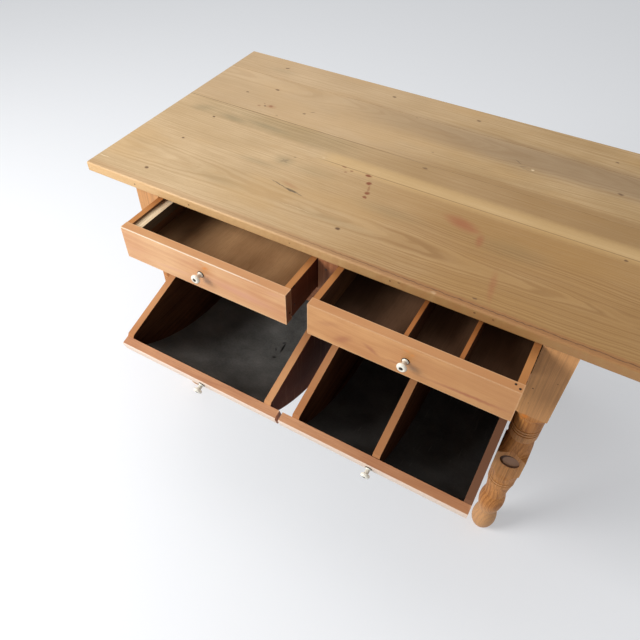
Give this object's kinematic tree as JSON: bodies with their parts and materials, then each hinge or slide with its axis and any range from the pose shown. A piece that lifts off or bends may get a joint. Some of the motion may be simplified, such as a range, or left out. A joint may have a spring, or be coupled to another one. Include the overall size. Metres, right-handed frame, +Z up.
{
  "type": "bakers table",
  "caption": "Kitchen work table on turned legs, with shallow drawers over tipping bins that slide out on a rod and have a rounded sheet metal belly.",
  "frame": {"origin": "on the floor under the middle of the whole outline, with the drawers and bins pulled out as pictured", "axes": "+X along the table's length to the right, +Y to the back, +Z up"},
  "size_m": [1.186, 0.859, 0.762],
  "materials": {
    "top_wood": "satin",
    "leg_wood": "satin",
    "case_wood": "satin",
    "runner_wood": "matte",
    "drawer_front_wood": "satin",
    "drawer_box_wood": "matte",
    "bin_wood": "satin",
    "lining_metal": "matte",
    "rod_steel": "satin",
    "porcelain": "gloss",
    "washer_steel": "satin",
    "screw_steel": "satin"
  },
  "bodies": {
    "table": {"top_board_front": "top_wood", "top_board_middle": "top_wood", "top_board_back": "top_wood", "leg_front_left": "leg_wood", "leg_back_left": "leg_wood", "leg_front_right": "leg_wood", "leg_back_right": "leg_wood", "apron_left": "case_wood", "apron_right": "case_wood", "apron_back": "case_wood", "rail_top": "case_wood", "rail_middle": "case_wood", "stile_front": "case_wood", "drawer_runner_left": "runner_wood", "drawer_runner_right": "runner_wood", "drawer_runner_centre": "runner_wood", "bin_guide_left": "runner_wood", "bin_guide_right": "runner_wood", "bin_guide_centre": "runner_wood"},
    "drawer_left": {"drawer_left_front": "drawer_front_wood", "drawer_left_side_left": "drawer_box_wood", "drawer_left_side_right": "drawer_box_wood", "drawer_left_bottom": "drawer_box_wood", "drawer_left_back": "drawer_box_wood", "drawer_left_washer": "washer_steel", "drawer_left_knob": "porcelain", "drawer_left_screw": "screw_steel", "drawer_left_strip": "drawer_box_wood"},
    "drawer_right": {"drawer_right_front": "drawer_front_wood", "drawer_right_side_left": "drawer_box_wood", "drawer_right_side_right": "drawer_box_wood", "drawer_right_bottom": "drawer_box_wood", "drawer_right_back": "drawer_box_wood", "drawer_right_washer": "washer_steel", "drawer_right_knob": "porcelain", "drawer_right_screw": "screw_steel", "drawer_right_divider_wide": "drawer_box_wood", "drawer_right_divider_narrow": "drawer_box_wood"},
    "bin_left": {"bin_left_side_left": "bin_wood", "bin_left_side_right": "bin_wood", "bin_left_lining": "lining_metal", "bin_left_front": "bin_wood", "bin_left_back": "bin_wood", "bin_left_washer": "washer_steel", "bin_left_knob": "porcelain", "bin_left_screw": "screw_steel"},
    "bin_left_rod": {"bin_left_rod": "rod_steel"},
    "bin_right": {"bin_right_side_left": "bin_wood", "bin_right_side_right": "bin_wood", "bin_right_lining": "lining_metal", "bin_right_front": "bin_wood", "bin_right_back": "bin_wood", "bin_right_washer": "washer_steel", "bin_right_knob": "porcelain", "bin_right_screw": "screw_steel", "bin_right_divider": "bin_wood"},
    "bin_right_rod": {"bin_right_rod": "rod_steel"}
  },
  "joints": [
    {"name": "drawer_left_slide", "type": "slide", "parent": "table", "child": "drawer_left", "axis": [0, 1, 0], "range_m": [-0.28, 0.1197]},
    {"name": "drawer_right_slide", "type": "slide", "parent": "table", "child": "drawer_right", "axis": [0, 1, 0], "range_m": [-0.28, 0.1179]},
    {"name": "bin_left_slide", "type": "slide", "parent": "table", "child": "bin_left_rod", "axis": [0, 1, 0], "range_m": [0, 0.2275]},
    {"name": "bin_left_tip", "type": "hinge", "parent": "bin_left_rod", "child": "bin_left", "pos_m": [-0.22125, 0.03702, 0.574], "axis": [-1, 0, 0], "range_deg": [0, 17.2]},
    {"name": "bin_right_slide", "type": "slide", "parent": "table", "child": "bin_right_rod", "axis": [0, 1, 0], "range_m": [0, 0.2275]},
    {"name": "bin_right_tip", "type": "hinge", "parent": "bin_right_rod", "child": "bin_right", "pos_m": [0.22125, 0.03702, 0.574], "axis": [-1, 0, 0], "range_deg": [0, 17.2]}
  ]
}
